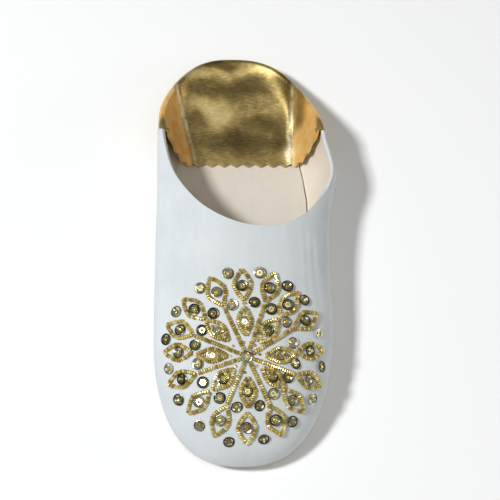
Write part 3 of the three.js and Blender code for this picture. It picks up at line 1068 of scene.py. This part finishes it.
sole, bm = copy_of("outsole", "sole")
underside = [face for face in bm.faces if face.normal.z < -0.9]
for width, depth in CHANNEL_CUTS:
    bmesh.ops.inset_region(
        bm, faces=underside, thickness=width * MM, depth=depth * MM, use_even_offset=True
    )


def joins_flat_to_wall(edge):
    slopes = [abs(face.normal.z) for face in edge.link_faces]
    return max(slopes) > 0.9 and min(slopes) < 0.2


soften(bm, [edge for edge in sharp_edges(bm, 60) if joins_flat_to_wall(edge)], 0.5 * MM)
for vert in bm.verts:
    vert.co.z = max(vert.co.z, 0.0)
close_up(sole, bm, tan_leather)
sole.data.set_sharp_from_angle(angle=math.radians(40))
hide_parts("outsole")

# %% [markdown]
# ## Insole
# The padded insole fills the shoe from wall to wall. On it lies a thin sock leather, cut by hand a
# little smaller, so its edge wanders, and shows as a fine dark line where it stops short of the
# wall. A painted line would do from far off. A real sheet also holds up close, so the top of the
# insole is cut out, its edges are moved in by a wandering amount, and it gets a thickness.

# %% Insole board
BOARD_SPREAD = 0.32 * MM

board, bm = copy_of("insole", "insole_board")
bm.normal_update()
for vert in bm.verts:
    outward = Vector((vert.normal.x, vert.normal.y, 0)).normalized()
    vert.co += outward * BOARD_SPREAD
close_up(board, bm, cream_leather)
board.data.set_sharp_from_angle(angle=math.radians(40))
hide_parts("insole")

# %% Sock leather
SOCK_THICKNESS = 0.42 * MM
SOCK_LIFT = 0.03 * MM
ROW_STEP = 0.02 * MM  # points this close along the foot are one row across it
NARROWEST = 8 * MM

sock, bm = copy_of("insole", "sock")
under = [face for face in bm.faces if face.normal.z < 0.9]
bmesh.ops.delete(bm, geom=under, context="FACES")
bmesh.ops.subdivide_edges(bm, edges=bm.edges[:], cuts=5, use_grid_fill=True)
rows = {}
for vert in bm.verts:
    rows.setdefault(round(vert.co.y / ROW_STEP), []).append(vert)
for row in rows.values():
    low = min(vert.co.x for vert in row)
    high = max(vert.co.x for vert in row)
    if high - low < NARROWEST:
        continue
    station = station_of(row[0].co) / MM
    wave = 2 * noise.noise(Vector((station * 0.13, 0.3, 0)))
    wave += noise.noise(Vector((station * 0.3, 3.3, 0)))
    wave_too = 2 * noise.noise(Vector((station * 0.13, 9.3, 0)))
    inner_cut = (1.2 + 2.0 * smooth_step(150, 168, station) + 0.5 * wave_too) * MM
    outer_cut = (0.9 + 1.1 * wave) * MM
    new_low, new_high = low + inner_cut, high - max(outer_cut, 0.1 * MM)
    for vert in row:
        share = (vert.co.x - low) / (high - low)
        vert.co.x = new_low + (new_high - new_low) * share
for vert in bm.verts:
    vert.co.z += SOCK_LIFT
bmesh.ops.recalc_face_normals(bm, faces=bm.faces)
if sum(face.normal.z for face in bm.faces) < 0:
    bmesh.ops.reverse_faces(bm, faces=bm.faces)
bmesh.ops.solidify(bm, geom=bm.faces[:], thickness=-SOCK_THICKNESS)
bmesh.ops.recalc_face_normals(bm, faces=bm.faces)
for face in bm.faces:
    face.material_index = int(abs(face.normal.z) < 0.5)
close_up(sock, bm, sock_leather, cut_edge)
sock.data.set_sharp_from_angle(angle=math.radians(40))
heights = [vert.co.z / MM for vert in sock.data.vertices]
print("sock lies from", round(min(heights), 1), "to", round(max(heights), 1), "mm above the floor")

# %% [markdown]
# ## Stitching
# The upper is sewn to the sole inside out and turned, so only a fine row of slanting stitches
# shows along the foot of the wall. The side seams, where the gold back meets the quarters, are
# whipped over by hand. A whole thread could be modelled, but most of it would lie unseen in the
# leather. So one stitch is a small spindle of thread, and copies of it follow the frame's own
# edges.

# %% Stitches
stitch_profile = [(0.0, -1.0), (0.55, -0.8), (0.9, -0.3), (0.9, 0.3), (0.55, 0.8), (0.0, 1.0)]
stitch = spun("stitch", stitch_profile, 6, ring=False)


def sew(name, line, surface, pitch, half_length, radius, slant, material, rise=0.0):
    """A row of stitches along a line, raised a little, each at a slant in degrees to the line."""
    places = []
    for place, along in walk(line, pitch, start=pitch / 2):
        on, normal, _, _ = surface.find_nearest(place + Vector((0, 0, rise)))
        lie = (along - normal * along.dot(normal)).normalized()
        lie = Matrix.Rotation(math.radians(slant + HAND.uniform(-5, 5)), 3, normal) @ lie
        spot = seat(on, normal, lie, 0.35 * radius, 1.0)
        spot = spot @ Matrix.Diagonal((radius, radius, half_length * HAND.uniform(0.9, 1.1), 1.0))
        places.append((spot, (0.5, 0.5, 0.5)))
    piece = lay_copies(name, stitch, places, material)
    piece.data.shade_smooth()


CLOSING = {
    "pitch": 3.6 * MM,
    "half_length": 1.4 * MM,
    "radius": 0.32 * MM,
    "slant": 62,
    "material": cream_thread,
    "rise": 1.7 * MM,
}
WHIPPING = {
    "pitch": 3.2 * MM,
    "half_length": 1.7 * MM,
    "radius": 0.3 * MM,
    "slant": 80,
    "material": white_thread,
}
sew("sole_stitches_vamp", upper_foot, vamp, **CLOSING)
sew("sole_stitches_back", back_foot, surface_of(back, 0), **CLOSING)
for i, line in enumerate(side_seams):
    sew(f"side_seam_{i + 1}", line, vamp, **WHIPPING)

# %% [markdown]
# ## Studio
# A white floor, one soft window light from the inner side, a weak reflector opposite, a large weak
# light overhead that reaches down into the shoe, and a dim pale room all round. A room picture
# could light it all, but with a few plain lights it is clear which one makes the shadow and which
# the shine.

# %% Floor
bm = bmesh.new()
bmesh.ops.create_grid(bm, x_segments=1, y_segments=1, size=3.0)
floor_mesh = bpy.data.meshes.new("floor")
bm.to_mesh(floor_mesh)
bm.free()
floor = new_piece("floor", floor_mesh, new_material("white_floor", (0.95, 0.95, 0.95), 0.8))
print("floor is", round(floor.dimensions.x, 1), "m wide")


# %% Lights
def area_light(name, place, target, size, power, colour):
    data = bpy.data.lights.new(name, "AREA")
    data.shape = "RECTANGLE"
    data.size, data.size_y = size
    data.energy = power
    data.color = colour
    light = bpy.data.objects.new(name, data)
    light.location = place
    light.rotation_euler = (Vector(target) - Vector(place)).to_track_quat("-Z", "Y").to_euler()
    bpy.context.scene.collection.objects.link(light)
    print(name, power, "W at", place)


area_light("window", (-1.04, -0.16, 1.60), (0, 0, 0), (0.26, 0.26), 29.0, (0.97, 1.0, 1.02))
area_light("reflector", (0.95, 0.0, 0.26), (0, 0.03, 0.03), (0.5, 0.4), 1.5, (1.0, 0.97, 0.93))
area_light("overhead", (0.25, -0.45, 1.5), (0, 0, 0), (0.9, 0.9), 3.6, (1.0, 0.985, 0.95))
world = bpy.data.worlds.new("room")
world.use_nodes = True
room = world.node_tree.nodes["Background"]
room.inputs["Color"].default_value = (1.0, 0.985, 0.94, 1.0)
room.inputs["Strength"].default_value = 0.20
bpy.context.scene.world = world
bpy.context.scene.view_settings.view_transform = "Standard"

# %% [markdown]
# ## Camera
# The slipper is looked at from above its toe, through a long lens, a little from the inner side.
# The camera's turn is built from where it aims and from which way is up in the picture. A Track To
# constraint would take the world's up instead, and roll the picture a little.

# %% Camera
CAMERA_AT = Vector((BALL_X - 0.0511, -0.353, 0.975))
AIM = Vector((BALL_X + 0.0044, 0.0, 0.02))
PICTURE_UP = Vector((0.0, math.cos(math.radians(20)), math.sin(math.radians(20))))
forward = (AIM - CAMERA_AT).normalized()
right = forward.cross(PICTURE_UP).normalized()
up = right.cross(forward)
camera_data = bpy.data.cameras.new("camera")
camera_data.lens = 130
camera_data.sensor_width = 36
camera_data.clip_start = 0.05
camera = bpy.data.objects.new("camera", camera_data)
turn = Matrix((right, up, -forward)).transposed()
camera.matrix_world = Matrix.Translation(CAMERA_AT) @ turn.to_4x4()
bpy.context.scene.collection.objects.link(camera)
bpy.context.scene.camera = camera
print("camera is", round((AIM - CAMERA_AT).length, 2), "m away")
